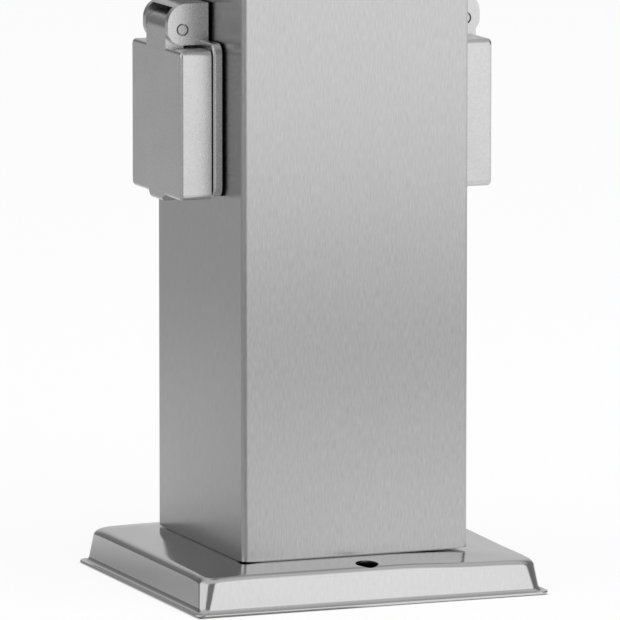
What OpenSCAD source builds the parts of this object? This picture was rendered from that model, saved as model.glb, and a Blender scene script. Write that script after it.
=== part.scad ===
// Garden socket post: a square brushed steel post on a pressed steel base, with a mains
// socket under a sprung hinged lid on its left and its right face. Millimetres, +Z up, front is -Y.
// The origin lies in the middle of the base, in the plane that it stands on.

/* [Post] */
// Width and depth of the square post
post_w = 90; // [86:1:120]
// Height of the whole product
total_h = 300; // [260:5:420]
// Thickness of the post's sheet
post_wall = 1.5; // [1:0.25:2]
// Outer radius of the post's folded corners
post_corner = 2; // [1.75:0.25:4]
// Outer radius of the bend that folds the sheet in at the foot
foot_bend = 0.8; // [0.4:0.1:1.2]
// Width of the flange folded inwards at the foot of the post
foot_flange = 14; // [13:1:18]
// Height of the open wedge where two foot flanges meet at a corner
corner_gap_h = 0.7; // [0.3:0.1:1]
// Length of that wedge along each face
corner_gap_l = 9; // [5:1:12]

/* [Top cap] */
// Thickness of the cap's top plate
cap_t = 2.5; // [2:0.5:4]
// Radius of the cap's top edge
cap_edge = 1; // [0.5:0.25:1.5]
// Depth of the cap's skirt inside the post
cap_skirt = 12; // [8:1:20]

/* [Base] */
// Width of the base across the two sockets, lip included
base_w = 141; // [138:1:180]
// Depth of the base from front to back, lip included
base_d = 130; // [128:1:170]
// Height of the base's flat seat
base_h = 15.5; // [15:0.5:22]
// Thickness of the base's sheet
base_sheet = 1; // [0.75:0.25:1.5]
// Width of the lip round the bottom
lip_w = 2.4; // [2:0.2:5]
// Corner radius of the lip
lip_corner = 4; // [2:0.5:8]
// Corner radius of the base's side wall
wall_corner = 7.3; // [7:0.1:12]
// Lean of the side wall, in degrees
wall_draft = 5; // [2:1:8]
// Radius of the shoulder above the side wall
shoulder_r = 6.2; // [5:0.2:7]
// Radius of the long curve that falls from the seat to the shoulder
crown_r = 80; // [60:5:90]
// Slope of the top where that curve meets the shoulder, in degrees
crown_slope = 9; // [5:1:10]
// Fillet between lip and side wall
lip_fillet = 1; // [0.5:0.25:1.5]
// Diameter of the two holes that fasten the base to the ground
ground_hole_d = 8.6; // [6:0.1:10]
// Distance of those holes from the front or back edge
ground_hole_in = 9; // [8.5:0.5:11]

/* [Base screws and cable inlet] */
// Diameter of the four screws between base and post
base_screw_d = 5; // [4:0.5:6]
// Distance of each of those screws from the post's outer faces
base_screw_in = 10; // [9:0.5:11]
// Diameter of the inlet hole in the base
inlet_d = 24; // [20:1:34]
// Clear bore of the rubber grommet
grommet_bore_d = 12; // [8:1:14]

/* [Socket flange] */
// Height of the socket's centre
socket_z = 176.9; // [160:0.1:200]
// Width of the flange
flange_w = 54; // [54:1:60]
// Height of the flange
flange_h = 57.2; // [57.2:0.2:62]
// Height of the flange's middle above the socket's centre
flange_rise = 1.6; // [1.4:0.1:3]
// Thickness of the flange
flange_t = 3.4; // [3.2:0.1:5]
// Corner radius of the flange
flange_corner = 4; // [2:0.5:6]
// Edge radius of the flange
flange_edge = 0.8; // [0.4:0.2:1.2]
// Thickness of the gasket between flange and post
gasket_t = 1.2; // [0.8:0.1:1.5]
// Distance between the flange's fixing screws, both ways
screw_pitch = 40; // [39.5:0.5:41]
// Diameter of the flange's fixing screws
flange_screw_d = 3.2; // [3:0.1:3.5]

/* [Socket insert] */
// Diameter of the round collar that stands in the flange
collar_d = 43.5; // [43:0.5:44]
// Diameter of the well that takes the plug
well_d = 39; // [38.5:0.5:39.5]
// Depth of the well
well_depth = 17.5; // [16:0.5:18]
// Distance between the two pin holes
pin_pitch = 19; // [18.5:0.5:19.5]
// Diameter of the pin holes in the floor of the well
pin_hole_d = 7; // [6.9:0.1:7.4]
// Bore of the contact sleeves
sleeve_bore_d = 4.9; // [4.6:0.1:5]
// Length of the rear cover behind the floor of the well
rear_cover_l = 16.4; // [15:0.2:18]

/* [Lid] */
// Width of the lid
lid_w = 52.4; // [52:0.2:56]
// Height of the lid
lid_h = 55.4; // [54:0.2:56]
// Depth of the lid
lid_depth = 12.1; // [11:0.1:14]
// Gap between the closed lid and the flange
lid_gap = 0.5; // [0.3:0.1:1]
// Wall of the lid
lid_wall = 2; // [1.5:0.25:2.5]
// Corner radius of the lid's outline
lid_corner = 2.2; // [2.2:0.2:5]
// Radius of the lid's outer edges
lid_edge = 1.2; // [0.8:0.2:2]
// Width of the lid's tongue between the hinge ears
tongue_w = 20.4; // [18:0.2:22]
// Width of the finger lip at its root under the lid
finger_w = 15.4; // [10:0.2:24]
// Drop of the finger lip below the lid
finger_drop = 2.2; // [1.5:0.1:4]
// Thickness of the finger lip
finger_t = 5.5; // [3:0.5:8]

/* [Hinge] */
// Diameter of the hinge pin
pin_d = 4; // [3.6:0.2:4.6]
// Height of the hinge pin above the lid's top edge
pin_rise = 6.75; // [6.5:0.05:8]
// Radius of the lid's hinge barrel, which ends flush with the lid's face
barrel_r = 5.6; // [5.4:0.1:5.8]
// Thickness of each hinge ear
ear_t = 3; // [2:0.5:4]
// Height of the hood above the hinge pin
hood_rise = 9.7; // [9.5:0.1:11]
// Thickness of the hood's roof and back
hood_t = 1.5; // [1:0.1:1.8]
// Wire of the torsion spring
spring_wire = 0.9; // [0.6:0.1:1]
// Turns of the torsion spring
spring_turns = 4; // [2:1:4]

/* [Wiring] */
// Diameter of one insulated wire
wire_d = 2.8; // [2:0.2:3.4]
// Height of the terminal block's upper face
block_top = 80; // [70:1:100]
// Height of the earth stud
stud_z = 110; // [100:1:125]
// Diameter of the earth stud
stud_d = 5; // [4:0.5:6]

/* [Hidden] */
$fn = 96;

// Clearances between pieces that slip together, turn on each other or just meet
slip = 0.2;
running = 0.05;
seal_gap = 0.1;
// How far a cutting shape runs past the solid that it cuts
over = 1;

// Post
post_inner = post_w - 2 * post_wall;
post_inner_corner = post_corner - post_wall;
post_top = total_h - cap_t;
flange_window = post_inner - 2 * foot_flange;
base_screw_at = post_w / 2 - base_screw_in;

// Base: circles of the shoulder and of the crown, in the section's own plane, where the first
// coordinate runs inwards from the foot of the wall and the second one up
shoulder_z = base_h - crown_r + (crown_r - shoulder_r) * cos(crown_slope);
shoulder_in = shoulder_r * cos(wall_draft)
    + (shoulder_z + shoulder_r * sin(wall_draft)) * tan(wall_draft);
crown_in = shoulder_in + (crown_r - shoulder_r) * sin(crown_slope);
crown_z = base_h - crown_r;
wall_w = base_w - 2 * lip_w;
wall_d = base_d - 2 * lip_w;
ground_hole_at = base_d / 2 - ground_hole_in;

// Screws, nuts and the grommet of the base
screw_head_h = 3;
base_screw_l = 9;
nut_t = 4;
nut_af = 1.6 * base_screw_d;
grommet_lip = 2;

// Socket, measured outwards from the post's face
flange_face = gasket_t + flange_t;
gasket_in = 0.2;
lid_back = flange_face + lid_gap;
lid_face = lid_back + lid_depth;
lid_inside = lid_face - lid_wall;
seal_t = 3.1;
seal_out = 0.75;
seal_in = 2.05;
collar_face = lid_inside - seal_t - seal_gap;
floor_face = collar_face - well_depth;
floor_t = 3;
floor_back = floor_face - floor_t;
rim_w = 2.25;
rim_d = collar_d + 2 * rim_w;
rim_t = 3;
rim_hole_d = rim_d + 5 * slip;
flange_screw_reach = 6;
cover_back = floor_back - rear_cover_l;
cover_wall = 1.8;
boss_d = 7;
centre_screw_d = 3;
centre_head_d = 6;
centre_head_h = 1.6;
earth_drop = 11;
rib_w = 1.6;
rib_t = 1.4;
rib_pitch = 8;
rib_root = 0.4;
rib_short = 4;
clip_slot = 3.6;

// Contacts
sleeve_wall = 1;
sleeve_l = 6;
sleeve_front = floor_back - 0.3;
clamp_size = 7;
clamp_front = sleeve_front - sleeve_l;
clamp_back = cover_back + cover_wall + 1;
clip_w = 4;
clip_t = 0.8;
clip_r = well_d / 2 - 1.3;
clamp_screw_d = 3;

// Hinge, measured outwards from the post's face and up from the socket's centre
pin_out = lid_face - barrel_r;
pin_up = lid_h / 2 + pin_rise;
ear_r = barrel_r + slip;
ear_back = gasket_t + slip;
ear_gap = tongue_w + slip;
ear_span = ear_gap + 2 * ear_t;
hood_arc_r = 7.5;
hood_arc_in = hood_arc_r - ear_r;
hood_arc_up = hood_rise - hood_arc_r;
ear_foot = ear_r;
flange_top = flange_rise + flange_h / 2;
barrel_bore_d = pin_d + 2 * running;
pin_groove_w = 0.35;
pin_groove_l = 1.5;
finger_slope = 0.9;
tongue_back = 1.5;

// Torsion spring: it winds on the pin inside a pocket of the barrel
spring_r = pin_d / 2 + 0.25 + spring_wire / 2;
spring_pitch = spring_wire + 0.5;
spring_len = spring_turns * spring_pitch;
pocket_w = spring_len + spring_wire + 2;
pocket_r = spring_r + spring_wire / 2 + 1.05;
spring_steps = 8;
spring_sides = 6;

// Wiring inside the post
wire_bend = 7;
wire_lead = 2;
wire_x = post_w / 2 + cover_back - wire_lead - wire_bend;
block_h = 18;
block_wall = 1.2;
block_d = 3 * pin_pitch / 2 + 1.5;
bar_size = 5.6;
bar_depth = 8;
bar_top = block_top - bar_depth;
terminal_hole_d = 2 * clamp_screw_d - 2 * slip;
terminal_screw_x = wire_x + wire_d / 2 + slip + block_wall + terminal_hole_d / 2;
block_w = 2 * terminal_screw_x + terminal_hole_d + 2 * block_wall;
shelf_t = 2;
shelf_w = block_w + 6;
shelf_front = block_d / 2 + 3;
stud_l = 14;
stud_nut_t = 4;
ring_t = 1;
ring_d = 2 * stud_d;
ring_crimp_l = 8;

// Shared shapes

// Rectangle with round corners, centred
module rounded_rect(w, d, r) {
    square([w - 2 * r, d], center = true);
    square([w, d - 2 * r], center = true);
    for (x = [-1, 1], y = [-1, 1])
        translate([x * (w / 2 - r), y * (d / 2 - r)])
            circle(r);
}

// Sweeps a section round a rounded rectangle. The section's first coordinate is 0 on the
// lines through the corner centres and r at the outline.
module sweep_round(w, d, r) {
    for (turn = [0:3]) {
        along = turn % 2 == 0 ? d : w;
        across = turn % 2 == 0 ? w : d;
        rotate(90 * turn) {
            translate([across / 2 - r, 0, 0])
                rotate([90, 0, 0])
                    linear_extrude(along - 2 * r, center = true)
                        children();
            translate([across / 2 - r, along / 2 - r, 0])
                rotate_extrude(angle = 90)
                    children();
        }
    }
}

// Slab with round corners and a round upper edge
module rounded_slab(w, d, h, corner, edge) {
    sweep_round(w, d, corner) {
        square([corner, h - edge]);
        square([corner - edge, h]);
        intersection() {
            translate([corner - edge, h - edge]) circle(edge);
            translate([corner - edge, h - edge]) square(edge);
        }
    }
    linear_extrude(h)
        square([w - 2 * corner, d - 2 * corner], center = true);
}

// Puts children on the left (-1) or right (1) face of the post at the socket's centre.
// Their X axis points outwards.
module on_side(side) {
    translate([side * post_w / 2, 0, socket_z])
        mirror([side < 0 ? 1 : 0, 0, 0])
            children();
}

// Turns a shape drawn face up so that its own Z axis points out of the post's face
module face_out() {
    rotate([90, 0, 90])
        children();
}

// Extrudes a section drawn in the hinge's plane along the hinge's axis, centred
module along_hinge(length) {
    rotate([90, 0, 0])
        linear_extrude(length, center = true)
            children();
}

// Cylinder that lies along the outward axis between two distances from the post's face
module outward_rod(d, from, to) {
    translate([from, 0, 0])
        rotate([0, 90, 0])
            cylinder(d = d, h = to - from);
}

// Four copies at the corners of a square
module at_corners(pitch_x, pitch_y) {
    for (x = [-1, 1], y = [-1, 1])
        translate([x * pitch_x / 2, y * pitch_y / 2, 0])
            children();
}

// Four copies round the socket's centre, on the flange's screw pitch
module at_flange_screws() {
    for (y = [-1, 1], z = [-1, 1])
        translate([0, y * screw_pitch / 2, z * screw_pitch / 2])
            children();
}

// Post and cap

module post_tube() {
    color("silver")
        difference() {
            union() {
                difference() {
                    translate([0, 0, post_top])
                        mirror([0, 0, 1])
                            rounded_slab(post_w, post_w, post_top - base_h, post_corner,
                                foot_bend);
                    translate([0, 0, base_h - over])
                        linear_extrude(post_top - base_h + 2 * over)
                            rounded_rect(post_inner, post_inner, post_inner_corner);
                }
                translate([0, 0, base_h])
                    linear_extrude(post_wall)
                        difference() {
                            rounded_rect(post_inner + post_wall, post_inner + post_wall,
                                post_inner_corner);
                            square(flange_window, center = true);
                        }
            }
            for (side = [-1, 1])
                on_side(side) {
                    outward_rod(rim_hole_d, -post_wall - over, over);
                    at_flange_screws()
                        outward_rod(flange_screw_d + slip, -post_wall - over, over);
                }
            translate([0, 0, base_h - over])
                at_corners(2 * base_screw_at, 2 * base_screw_at)
                    cylinder(d = base_screw_d + 2 * slip, h = post_wall + 2 * over);
            for (turn = [0:3])
                rotate(90 * turn)
                    corner_gap();
        }
}

// Wedge left open at one corner where two foot flanges meet
module corner_gap() {
    intersection() {
        translate([post_w / 2, -post_w / 2, base_h]) {
            rotate([90, 0, 0])
                linear_extrude(2 * corner_gap_l, center = true)
                    polygon([[-corner_gap_l, -over], [over, -over], [over, corner_gap_h],
                        [0, corner_gap_h], [-corner_gap_l, 0]]);
        }
        translate([post_w / 2, -post_w / 2, base_h]) {
            rotate([90, 0, 90])
                linear_extrude(2 * corner_gap_l, center = true)
                    polygon([[corner_gap_l, -over], [-over, -over], [-over, corner_gap_h],
                        [0, corner_gap_h], [corner_gap_l, 0]]);
        }
    }
}

module top_cap() {
    color("silver") {
        translate([0, 0, post_top])
            rounded_slab(post_w, post_w, cap_t, post_corner, cap_edge);
        translate([0, 0, post_top - cap_skirt])
            linear_extrude(cap_skirt)
                difference() {
                    rounded_rect(post_inner - 2 * slip, post_inner - 2 * slip,
                        post_inner_corner);
                    square(post_inner - 2 * slip - 2 * post_wall, center = true);
                }
    }
}

// Base

// Where the shoulder meets the wall, and where the crown meets the shoulder, for the
// surface that lies the given depth below the outer one
function wall_end(depth) = [
    shoulder_in - (shoulder_r - depth) * cos(wall_draft),
    shoulder_z + (shoulder_r - depth) * sin(wall_draft)
];
function crown_end(depth) = [
    crown_in - (crown_r - depth) * sin(crown_slope),
    crown_z + (crown_r - depth) * cos(crown_slope)
];

// Half of the pan's section, from the foot of its wall inwards
module pan_half_section(depth, reach) {
    seat = base_h - depth;
    polygon([[depth / cos(wall_draft), 0], wall_end(depth), crown_end(depth),
        [crown_in, seat], [reach, seat], [reach, 0]]);
    translate([shoulder_in, shoulder_z])
        circle(shoulder_r - depth);
    intersection() {
        translate([crown_in, crown_z])
            circle(crown_r - depth, $fn = 720);
        polygon([crown_end(depth), [crown_in, seat], [crown_in, seat + over],
            crown_end(depth) + [0, over]]);
    }
}

// Whole section of the pan, for a pan of the given width
module pan_section(depth, width) {
    for (side = [0, 1])
        mirror([side, 0])
            translate([-width / 2, 0])
                pan_half_section(depth, width / 2);
}

// The pan as a solid, down to the given depth below its outer surface
module pan_solid(depth) {
    intersection() {
        rotate([90, 0, 0])
            linear_extrude(wall_d, center = true)
                pan_section(depth, wall_w);
        rotate([90, 0, 90])
            linear_extrude(wall_w, center = true)
                pan_section(depth, wall_d);
        linear_extrude(base_h) {
            square([wall_w - 2 * wall_corner, wall_d], center = true);
            square([wall_w, wall_d - 2 * wall_corner], center = true);
        }
    }
    for (turn = [0:3]) {
        along = turn % 2 == 0 ? wall_d : wall_w;
        across = turn % 2 == 0 ? wall_w : wall_d;
        rotate(90 * turn)
            translate([across / 2 - wall_corner, along / 2 - wall_corner, 0])
                rotate_extrude(angle = 90)
                    intersection() {
                        translate([wall_corner, 0])
                            mirror([1, 0])
                                pan_half_section(depth, 3 * wall_corner);
                        square([wall_corner, base_h]);
                    }
    }
}

// Fillet between the lip and the wall
module lip_fillet_section() {
    centre_z = base_sheet + lip_fillet;
    centre_x = wall_corner - centre_z * tan(wall_draft) + lip_fillet / cos(wall_draft);
    touch = [centre_x - lip_fillet * cos(wall_draft), centre_z - lip_fillet * sin(wall_draft)];
    inside = wall_corner - base_sheet / 2;
    difference() {
        polygon([[inside, base_sheet / 2], [centre_x, base_sheet / 2], [centre_x, centre_z],
            touch, [inside, touch[1]]]);
        translate([centre_x, centre_z])
            circle(lip_fillet);
    }
}

module base_cover() {
    color("lightgray")
        difference() {
            union() {
                linear_extrude(base_sheet)
                    rounded_rect(base_w, base_d, lip_corner);
                pan_solid(0);
                sweep_round(wall_w, wall_d, wall_corner)
                    lip_fillet_section();
            }
            pan_solid(base_sheet);
            for (y = [-1, 1])
                translate([0, y * ground_hole_at, 0])
                    cylinder(d = ground_hole_d, h = base_h + over);
            at_corners(2 * base_screw_at, 2 * base_screw_at)
                cylinder(d = base_screw_d + 2 * slip, h = base_h + over);
            cylinder(d = inlet_d, h = base_h + over);
        }
}

// Four screws that come up through the base into the post's foot flange
module base_screws() {
    color("gray")
        translate([0, 0, base_h - base_sheet])
            at_corners(2 * base_screw_at, 2 * base_screw_at) {
                cylinder(d = base_screw_d, h = base_screw_l);
                difference() {
                    translate([0, 0, -screw_head_h])
                        cylinder(d = 1.9 * base_screw_d, h = screw_head_h);
                    translate([0, 0, -screw_head_h - over])
                        cylinder(d = 0.9 * base_screw_d, h = over + 0.6 * screw_head_h, $fn = 6);
                }
            }
}

// Hexagon nuts welded on the foot flange
module weld_nuts() {
    color("gray")
        translate([0, 0, base_h + post_wall])
            at_corners(2 * base_screw_at, 2 * base_screw_at)
                difference() {
                    cylinder(d = nut_af / cos(30), h = nut_t, $fn = 6);
                    translate([0, 0, -over])
                        cylinder(d = base_screw_d + running, h = nut_t + 2 * over);
                }
}

// Rubber grommet in the base, where the supply cable comes in
module cable_grommet() {
    sheet_low = base_h - base_sheet;
    color("dimgray")
        rotate_extrude()
            difference() {
                union() {
                    translate([0, sheet_low - grommet_lip])
                        square([inlet_d / 2 + grommet_lip, grommet_lip]);
                    translate([0, sheet_low])
                        square([inlet_d / 2 - running, base_sheet]);
                    translate([0, base_h])
                        square([inlet_d / 2 + grommet_lip, grommet_lip]);
                }
                translate([0, sheet_low - grommet_lip - over])
                    square([grommet_bore_d / 2, base_sheet + 2 * (grommet_lip + over)]);
            }
}

// Terminal block and earth stud inside the post

// Shelf that carries the terminal block, folded up against the post's rear wall
module terminal_shelf() {
    shelf_top = block_top - block_h;
    rear = post_inner / 2;
    color("silver") {
        translate([-shelf_w / 2, -shelf_front, shelf_top - shelf_t])
            cube([shelf_w, shelf_front + rear, shelf_t]);
        translate([-shelf_w / 2, rear - shelf_t, shelf_top])
            cube([shelf_w, shelf_t, block_h]);
    }
}

// One channel of the block for each pole
module at_poles() {
    for (pole = [-1:1])
        translate([0, pole * pin_pitch / 2, 0])
            children();
}

module terminal_block() {
    color("whitesmoke")
        difference() {
            translate([0, 0, block_top - block_h])
                linear_extrude(block_h)
                    rounded_rect(block_w, block_d, 1);
            at_poles() {
                translate([-block_w / 2 - over, -bar_size / 2 - slip,
                        bar_top - bar_size - slip])
                    cube([block_w + 2 * over, bar_size + 2 * slip, bar_size + slip]);
                for (x = [-1, 1]) {
                    translate([x * wire_x, 0, bar_top - over])
                        cylinder(d = wire_d + 2 * slip, h = block_h);
                    translate([x * terminal_screw_x, 0, bar_top - over])
                        cylinder(d = terminal_hole_d, h = block_h);
                }
            }
            translate([0, 0, bar_top - over])
                cylinder(d = wire_d + 2 * slip, h = block_h);
        }
}

module terminal_bars() {
    color("goldenrod")
        at_poles()
            difference() {
                translate([-block_w / 2 + over, -bar_size / 2, bar_top - bar_size - slip])
                    cube([block_w - 2 * over, bar_size, bar_size + slip]);
                for (x = [-1, 1])
                    translate([x * terminal_screw_x, 0, bar_top - 0.7 * bar_size])
                        cylinder(d = clamp_screw_d + running, h = bar_size);
            }
}

module terminal_screws() {
    color("gray")
        at_poles()
            for (x = [-1, 1])
                translate([x * terminal_screw_x, 0, bar_top])
                    difference() {
                        union() {
                            translate([0, 0, -0.6 * bar_size])
                                cylinder(d = clamp_screw_d, h = bar_size);
                            cylinder(d = 1.7 * clamp_screw_d, h = 2.5);
                        }
                        translate([-clamp_screw_d, -0.3, 1.7])
                            cube([2 * clamp_screw_d, 0.6, 2 * over + 1]);
                    }
}

module earth_stud() {
    color("gray")
        translate([0, post_inner / 2, stud_z])
            rotate([90, 0, 0]) {
                cylinder(d = stud_d, h = stud_l);
                cylinder(d = 1.6 * stud_d / cos(30), h = stud_nut_t, $fn = 6);
            }
}

module earth_nut() {
    color("gray")
        translate([0, post_inner / 2 - stud_nut_t - ring_t, stud_z])
            rotate([90, 0, 0])
                difference() {
                    union() {
                        cylinder(d = ring_d, h = 1);
                        translate([0, 0, 1])
                            cylinder(d = 1.6 * stud_d / cos(30), h = stud_nut_t, $fn = 6);
                    }
                    translate([0, 0, -over])
                        cylinder(d = stud_d + running, h = stud_nut_t + 3 * over);
                }
}

// Ring terminal clamped on the stud, with its crimp barrel pointing down
module earth_ring() {
    ring_y = post_inner / 2 - stud_nut_t - ring_t / 2;
    color("silver")
        difference() {
            union() {
                translate([0, ring_y, stud_z])
                    rotate([90, 0, 0])
                        cylinder(d = ring_d, h = ring_t, center = true);
                translate([0, ring_y, stud_z - stud_d - ring_crimp_l])
                    cylinder(d = wire_d + 1.4, h = ring_crimp_l);
                translate([-wire_d / 2, ring_y - ring_t / 2, stud_z - stud_d - over])
                    cube([wire_d, ring_t, stud_d / 2]);
            }
            translate([0, ring_y, stud_z])
                rotate([90, 0, 0])
                    cylinder(d = stud_d + 2 * slip, h = 2 * ring_t, center = true);
            translate([0, ring_y, stud_z - stud_d - ring_crimp_l - over])
                cylinder(d = wire_d + 2 * running, h = ring_crimp_l);
        }
}

// Quarter bend of a wire in the XZ plane, from the X direction to the downward one
module wire_quarter() {
    rotate([90, 0, 0])
        rotate_extrude(angle = 90)
            translate([wire_bend, 0])
                circle(d = wire_d);
}

// Wire from the post's earth stud to the middle pole of the terminal block
module earth_lead() {
    ring_y = post_inner / 2 - stud_nut_t - ring_t / 2;
    ring_low = stud_z - stud_d - ring_crimp_l;
    run_z = ring_low - wire_bend;
    color("yellowgreen") {
        translate([0, 0, bar_top])
            cylinder(d = wire_d, h = run_z - wire_bend - bar_top);
        translate([0, wire_bend, run_z - wire_bend])
            rotate(-90)
                wire_quarter();
        translate([0, wire_bend, run_z])
            rotate([-90, 0, 0])
                cylinder(d = wire_d, h = ring_y - 2 * wire_bend);
        translate([0, ring_y - wire_bend, ring_low])
            rotate(90)
                rotate([180, 0, 0])
                    wire_quarter();
        translate([0, ring_y, ring_low])
            cylinder(d = wire_d, h = ring_crimp_l - over);
    }
}

// Wires from the back of both sockets down to the block, at a given place across the post
// and a given drop below the socket's centre
module drop_wires(y, drop) {
    for (side = [-1, 1])
        mirror([side < 0 ? 1 : 0, 0, 0])
            translate([wire_x, y, 0]) {
                top = socket_z - drop;
                translate([0, 0, bar_top])
                    cylinder(d = wire_d, h = top - wire_bend - bar_top);
                translate([wire_bend, 0, top - wire_bend])
                    mirror([1, 0, 0])
                        wire_quarter();
                translate([wire_bend, 0, top])
                    rotate([0, 90, 0])
                        cylinder(d = wire_d, h = post_w / 2 + clamp_back - wire_x - wire_bend);
            }
}

module live_wires() {
    color("saddlebrown")
        drop_wires(pin_pitch / 2, 0);
}

module neutral_wires() {
    color("steelblue")
        drop_wires(-pin_pitch / 2, 0);
}

module earth_wires() {
    color("yellowgreen")
        drop_wires(0, earth_drop);
}

// Socket, drawn with X pointing out of the post's face

// Gasket behind the flange and behind the hinge ears
module gasket() {
    color("black")
        difference() {
            face_out()
                linear_extrude(gasket_t) {
                    translate([0, flange_rise])
                        rounded_rect(flange_w - 2 * gasket_in, flange_h - 2 * gasket_in,
                            flange_corner - gasket_in);
                    translate([-ear_span / 2 + gasket_in, flange_rise])
                        square([ear_span - 2 * gasket_in, pin_up + hood_rise - flange_rise]);
                }
            outward_rod(rim_hole_d, -over, gasket_t + over);
            at_flange_screws()
                outward_rod(flange_screw_d + slip, -over, gasket_t + over);
        }
}

// Outline of a hinge ear, with the pin at the origin and the first coordinate outwards
module ear_outline() {
    back = ear_back - pin_out;
    circle(ear_r);
    translate([-hood_arc_in, hood_arc_up])
        circle(hood_arc_r);
    polygon([[back, -ear_foot], [0, -ear_foot], [0, 0], [ear_r, 0], [ear_r, hood_arc_up],
        [-hood_arc_in, hood_arc_up], [-hood_arc_in, hood_rise], [back, hood_rise]]);
}

// Roof of the hood: the upper slice of the ear's outline
module roof_outline() {
    intersection() {
        ear_outline();
        translate([-2 * hood_arc_r, hood_rise - hood_t])
            square([4 * hood_arc_r, hood_t + over]);
    }
}

module flange() {
    color("darkgray")
        difference() {
            union() {
                face_out()
                    translate([0, flange_rise, gasket_t])
                        rounded_slab(flange_w, flange_h, flange_t, flange_corner, flange_edge);
                translate([pin_out, 0, pin_up]) {
                    for (side = [-1, 1])
                        translate([0, side * (ear_gap + ear_t) / 2, 0])
                            along_hinge(ear_t)
                                ear_outline();
                    along_hinge(ear_gap)
                        roof_outline();
                }
                translate([ear_back, -ear_gap / 2, flange_top - flange_t / 2])
                    cube([hood_t, ear_gap, pin_up + hood_rise - flange_top + flange_t / 2
                        - hood_t / 2]);
            }
            outward_rod(collar_d + 2 * slip, -over, flange_face + over);
            at_flange_screws() {
                outward_rod(flange_screw_d + 2 * slip, -over, flange_face + over);
                countersink(slip);
            }
            translate([pin_out, 0, pin_up]) {
                along_hinge(ear_span + 2 * over)
                    circle(d = pin_d + running);
                for (side = [-1, 1])
                    translate([0, side * (ear_span - pin_groove_l + over) / 2, 0])
                        along_hinge(pin_groove_l + over)
                            circle(d = pin_d + 2 * pin_groove_w);
            }
        }
}

// Cone of a countersunk head, its wide end flush with the flange's face
module countersink(clearance) {
    head_d = 2 * flange_screw_d;
    depth = (head_d - flange_screw_d) / 2;
    translate([flange_face - depth, 0, 0])
        rotate([0, 90, 0])
            cylinder(d1 = flange_screw_d + 2 * clearance, d2 = head_d + 2 * clearance, h = depth);
}

module flange_screws() {
    head_d = 2 * flange_screw_d;
    depth = (head_d - flange_screw_d) / 2;
    color("gray")
        at_flange_screws()
            difference() {
                union() {
                    outward_rod(flange_screw_d, -post_wall - flange_screw_reach, flange_face - depth);
                    countersink(0);
                }
                for (turn = [0, 90])
                    translate([flange_face, 0, 0])
                        rotate([turn, 0, 0])
                            cube([2, 0.7, 0.6 * head_d], center = true);
            }
}

// Plastic insert with the plug well: a collar, a rear rim that bears on the flange, and a
// floor with the pin holes and the slots of the earth clips
module socket_insert() {
    color("slategray") {
        difference() {
            union() {
                outward_rod(collar_d, floor_back, collar_face);
                outward_rod(rim_d, gasket_t - rim_t, gasket_t);
            }
            outward_rod(well_d, floor_face, collar_face + over);
            for (y = [-1, 1])
                translate([0, y * pin_pitch / 2, 0])
                    outward_rod(pin_hole_d, floor_back - over, floor_face + over);
            outward_rod(centre_screw_d + 2 * slip, floor_back - over, floor_face + over);
            outward_rod(centre_head_d + 2 * slip, floor_face - centre_head_h - slip,
                floor_face + over);
            for (z = [-1, 1])
                translate([floor_back - over, -clip_w / 2 - slip, z * clip_r - clip_slot / 2])
                    cube([floor_t + 2 * over, clip_w + 2 * slip, clip_slot]);
        }
        for (y = [-1, 1], z = [-1, 1])
            intersection() {
                translate([floor_face - rib_root, y * (well_d / 2 - rib_root) - rib_t / 2,
                        z * rib_pitch / 2 - rib_w / 2])
                    cube([well_depth - rib_short, rib_t, rib_w]);
                outward_rod(well_d + 2 * rib_root, floor_back, collar_face);
            }
    }
}

module centre_screw() {
    head_back = floor_face - centre_head_h - slip;
    color("gray")
        difference() {
            union() {
                outward_rod(centre_head_d, head_back, head_back + centre_head_h);
                outward_rod(centre_screw_d, cover_back + cover_wall + 2, head_back);
            }
            translate([head_back + centre_head_h, 0, 0])
                cube([1.6, 0.8, 2 * centre_head_d], center = true);
        }
}

// Rear cover of the insert: a cup with a boss for the centre screw and three wire holes
module rear_cover() {
    color("slategray")
        difference() {
            union() {
                difference() {
                    outward_rod(collar_d, cover_back, floor_back);
                    outward_rod(collar_d - 2 * cover_wall, cover_back + cover_wall,
                        floor_back + over);
                }
                outward_rod(boss_d, cover_back, floor_back);
            }
            outward_rod(centre_screw_d + running, cover_back + cover_wall + 2 - slip,
                floor_back + over);
            for (y = [-1, 1])
                translate([0, y * pin_pitch / 2, 0])
                    outward_rod(wire_d + 2 * slip, cover_back - over, cover_back + 2 * over + 1);
            translate([0, 0, -earth_drop])
                outward_rod(wire_d + 2 * slip, cover_back - over, cover_back + 2 * over + 1);
        }
}

// Screw hole of a clamp, coming up from below
module clamp_screw_hole() {
    translate([(clamp_front + clamp_back) / 2, 0, -clamp_size])
        cylinder(d = clamp_screw_d + running, h = clamp_size);
}

// Two brass sleeves for the plug's pins, each with its wire clamp behind it
module pin_contacts() {
    color("goldenrod")
        for (y = [-1, 1])
            translate([0, y * pin_pitch / 2, 0])
                difference() {
                    union() {
                        outward_rod(sleeve_bore_d + 2 * sleeve_wall, clamp_front, sleeve_front);
                        translate([clamp_back, -clamp_size / 2, -clamp_size / 2])
                            cube([clamp_front - clamp_back, clamp_size, clamp_size]);
                    }
                    outward_rod(sleeve_bore_d, clamp_front + over, sleeve_front + over);
                    clamp_screw_hole();
                }
}

// Clamp screws of the two sleeves and of the earth contact
module contact_screws() {
    color("gray")
        translate([(clamp_front + clamp_back) / 2, 0, 0])
            for (place = [[-pin_pitch / 2, 0], [0, -earth_drop], [pin_pitch / 2, 0]])
                translate([0, place[0], place[1] - clamp_size / 2]) {
                    translate([0, 0, -1.2])
                        cylinder(d = 1.6 * clamp_screw_d, h = 1.2);
                    cylinder(d = clamp_screw_d, h = 0.6 * clamp_size / 2);
                }
}

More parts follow.
